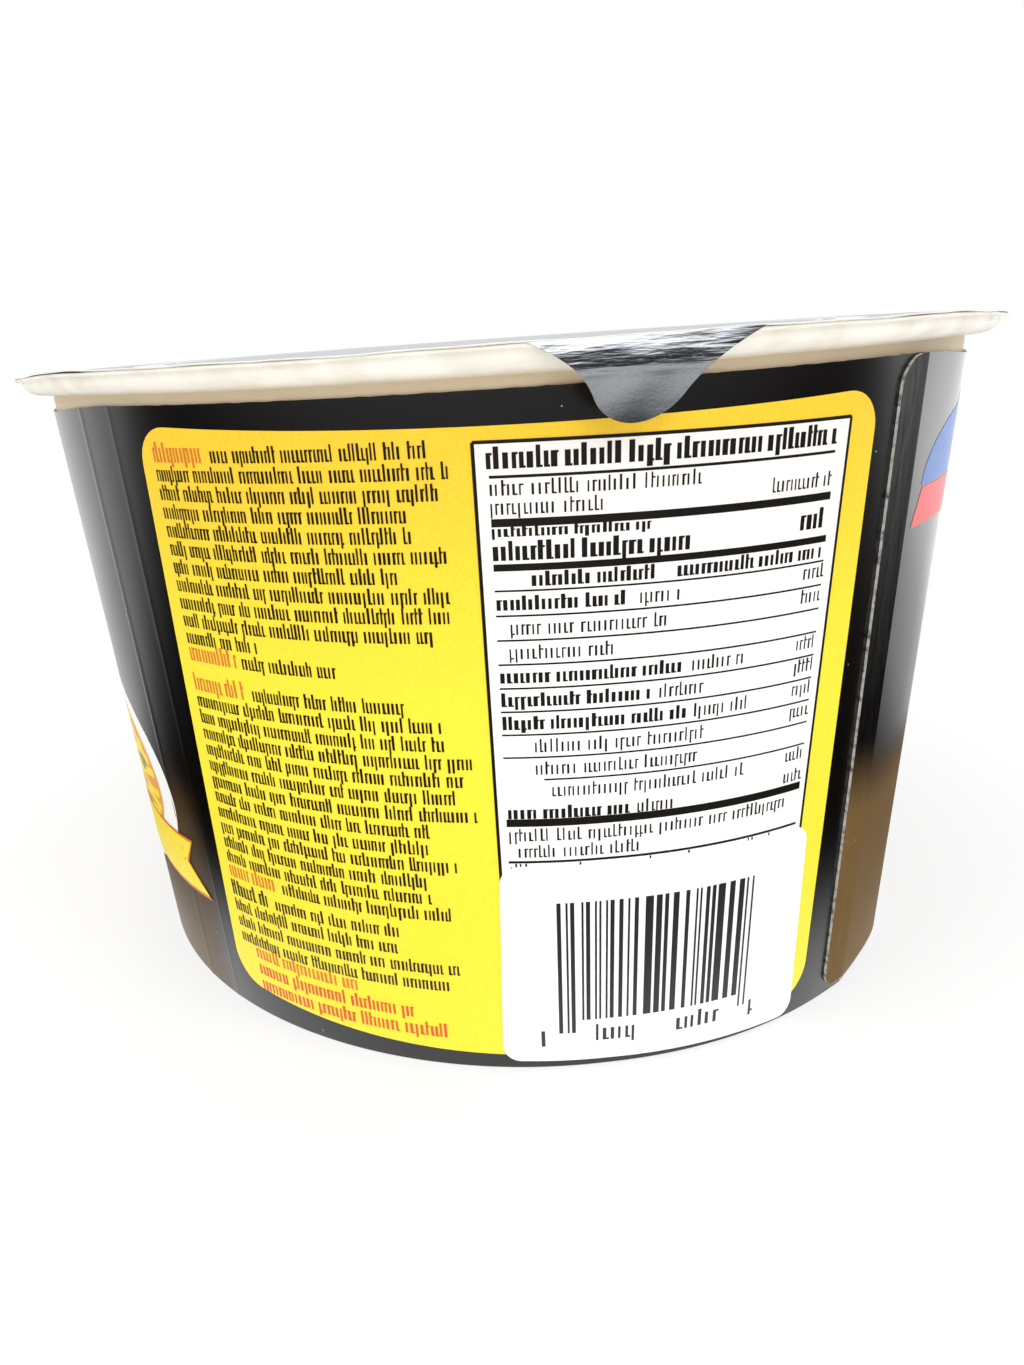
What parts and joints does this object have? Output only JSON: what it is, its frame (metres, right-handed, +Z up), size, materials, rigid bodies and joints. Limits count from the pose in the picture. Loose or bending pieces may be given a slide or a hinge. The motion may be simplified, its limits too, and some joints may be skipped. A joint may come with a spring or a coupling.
{
  "type": "instant noodle cup",
  "caption": "Sealed round noodle cup with a wide rolled rim, a foil lid with a folded pull tab, a tapered paperboard sleeve with a lapped end and a stick-on label.",
  "frame": {"origin": "middle of the foot, on the surface the cup stands on", "axes": "+Z up along the cup's axis, -Y towards the side of the sleeve with the yellow ingredients panel, +X to the right seen from that side"},
  "size_m": [0.1409, 0.1408, 0.0856],
  "materials": {
    "cup_shell": "smooth ivory, slightly soft sheen",
    "lid_foil": "dark printed foil laminate, finely crinkled at the fold",
    "sleeve_board": "coated black board, semi-gloss, with a yellow panel",
    "label_paper": "smooth white label stock"
  },
  "bodies": {
    "root": {"cup": "cup_shell", "lid": "lid_foil", "sleeve": "sleeve_board", "label": "label_paper"}
  },
  "joints": []
}
